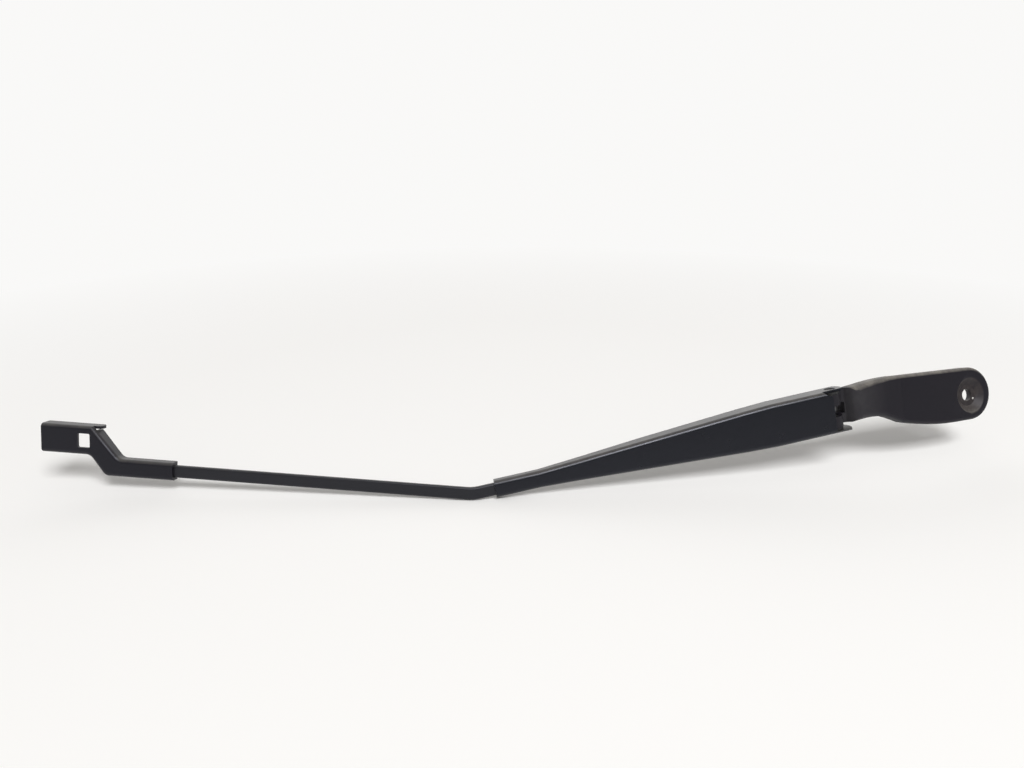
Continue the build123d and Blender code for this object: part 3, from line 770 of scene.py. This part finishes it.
# Stage


def background_rays(tree):
    """One where the background is seen, straight or in a reflection."""
    ray = tree.nodes.new("ShaderNodeLightPath")
    seen = maths(tree, "MAXIMUM", ray.outputs["Is Camera Ray"], ray.outputs["Is Glossy Ray"])
    return maths(tree, "MAXIMUM", seen, ray.outputs["Is Transmission Ray"])


def lay_floor(stage):
    """A pale floor that takes the arm's shadow and fades to the backdrop away from it."""
    mesh = bmesh.new()
    bmesh.ops.create_grid(mesh, x_segments=4, y_segments=4, size=stage.floor_half)
    bmesh.ops.translate(mesh, verts=mesh.verts, vec=(0, 0, CAD_BOX[0].z - stage.floor_gap))
    floor = add_piece("floor", mesh)
    material, tree, paper = new_material("floor paper")
    paper.inputs["Base Color"].default_value = (*stage.floor_colour, 1)
    paper.inputs["Roughness"].default_value = 0.9
    paper.inputs["Specular IOR Level"].default_value = 0.1
    backdrop = tree.nodes.new("ShaderNodeEmission")
    backdrop.inputs["Color"].default_value = (*stage.backdrop_colour, 1)
    place = tree.nodes.new("ShaderNodeNewGeometry").outputs["Position"]
    away = vector_maths(tree, "DISTANCE", place, stage.middle)
    faded = ranged(tree, away, stage.fade_start, stage.fade_end)
    share = maths(tree, "MULTIPLY", faded, background_rays(tree))
    mixed_shaders(tree, share, paper, backdrop, "Material Output")
    give(floor, material)


def add_lamp(name, size, power, place, target):
    """An even rectangular lamp that looks at a point."""
    lamp = bpy.data.objects.new(name, bpy.data.lights.new(name, "AREA"))
    lamp.data.shape = "RECTANGLE"
    lamp.data.size, lamp.data.size_y = size
    lamp.data.energy = power
    lamp.location = place
    lamp.rotation_euler = (Vector(target) - Vector(place)).to_track_quat("-Z", "Y").to_euler()
    bpy.context.scene.collection.objects.link(lamp)


def light_sky(scene, stage):
    """Even light all round, and a backdrop whose front is dimmer where the arm reflects it."""
    scene.world = bpy.data.worlds.new("studio")
    scene.world.use_nodes = True
    tree = scene.world.node_tree
    sky = tree.nodes["Background"]
    sky.inputs["Color"].default_value = (*stage.sky_colour, 1)
    sky.inputs["Strength"].default_value = stage.sky
    backdrop = tree.nodes.new("ShaderNodeBackground")
    backdrop.inputs["Color"].default_value = (*stage.backdrop_colour, 1)
    depth = axis_part(tree, coordinates(tree, "Generated"), "Y")
    level = ranged(tree, depth, DIM_FRONT, FULL_BACK, stage.front_level, 1.0)
    straight = tree.nodes.new("ShaderNodeLightPath").outputs["Is Camera Ray"]
    tree.links.new(maths(tree, "MAXIMUM", level, straight), backdrop.inputs["Strength"])
    mixed_shaders(tree, background_rays(tree), sky, backdrop, "World Output")


def set_camera(scene, stage):
    """The camera at the chosen place and angle."""
    camera = bpy.data.objects.new("camera", bpy.data.cameras.new("camera"))
    camera.data.lens = stage.lens
    camera.data.sensor_width = 36
    camera.data.clip_start = 0.01
    camera.location = stage.camera_place
    camera.rotation_euler = (radians(90) - stage.camera_tilt, 0, stage.camera_azimuth)
    scene.collection.objects.link(camera)
    scene.camera = camera


class WIPER_OT_stage(bpy.types.Operator):
    """Sets the floor, the lamps, the sky and the camera"""

    bl_idname = "wiper.stage"
    bl_label = "Set the Stage"

    def execute(self, context):
        scene = context.scene
        stage = scene.wiper_stage
        scene.view_settings.view_transform = "Standard"
        lay_floor(stage)
        add_lamp("key lamp", stage.key_size, stage.key_power, stage.key_place, stage.middle)
        add_lamp("back lamp", stage.back_size, stage.back_power, stage.back_place, stage.middle)
        light_sky(scene, stage)
        set_camera(scene, stage)
        return {"FINISHED"}


class WIPER_PT_panel(bpy.types.Panel):
    """Lists the steps of the wiper arm"""

    bl_idname = "WIPER_PT_panel"
    bl_label = "Wiper Arm"
    bl_space_type = "VIEW_3D"
    bl_region_type = "UI"
    bl_category = "Wiper Arm"

    def draw(self, context):
        for operator in OPERATORS:
            self.layout.operator(operator.bl_idname)


SETTINGS = {
    "wiper_coat": CoatSettings,
    "wiper_hinge": HingeSettings,
    "wiper_spring": SpringSettings,
    "wiper_stage": StageSettings,
}
OPERATORS = (WIPER_OT_coat, WIPER_OT_hinge_metal, WIPER_OT_spring, WIPER_OT_stage)


def register():
    for name, settings in SETTINGS.items():
        bpy.utils.register_class(settings)
        setattr(bpy.types.Scene, name, PointerProperty(type=settings))
    for operator in OPERATORS:
        bpy.utils.register_class(operator)
    bpy.utils.register_class(WIPER_PT_panel)


def unregister():
    bpy.utils.unregister_class(WIPER_PT_panel)
    for operator in reversed(OPERATORS):
        bpy.utils.unregister_class(operator)
    for name, settings in SETTINGS.items():
        delattr(bpy.types.Scene, name)
        bpy.utils.unregister_class(settings)


def main():
    register()
    bpy.ops.wiper.coat()
    bpy.ops.wiper.hinge_metal()
    bpy.ops.wiper.spring()
    bpy.ops.wiper.stage()


if __name__ == "__main__":
    main()
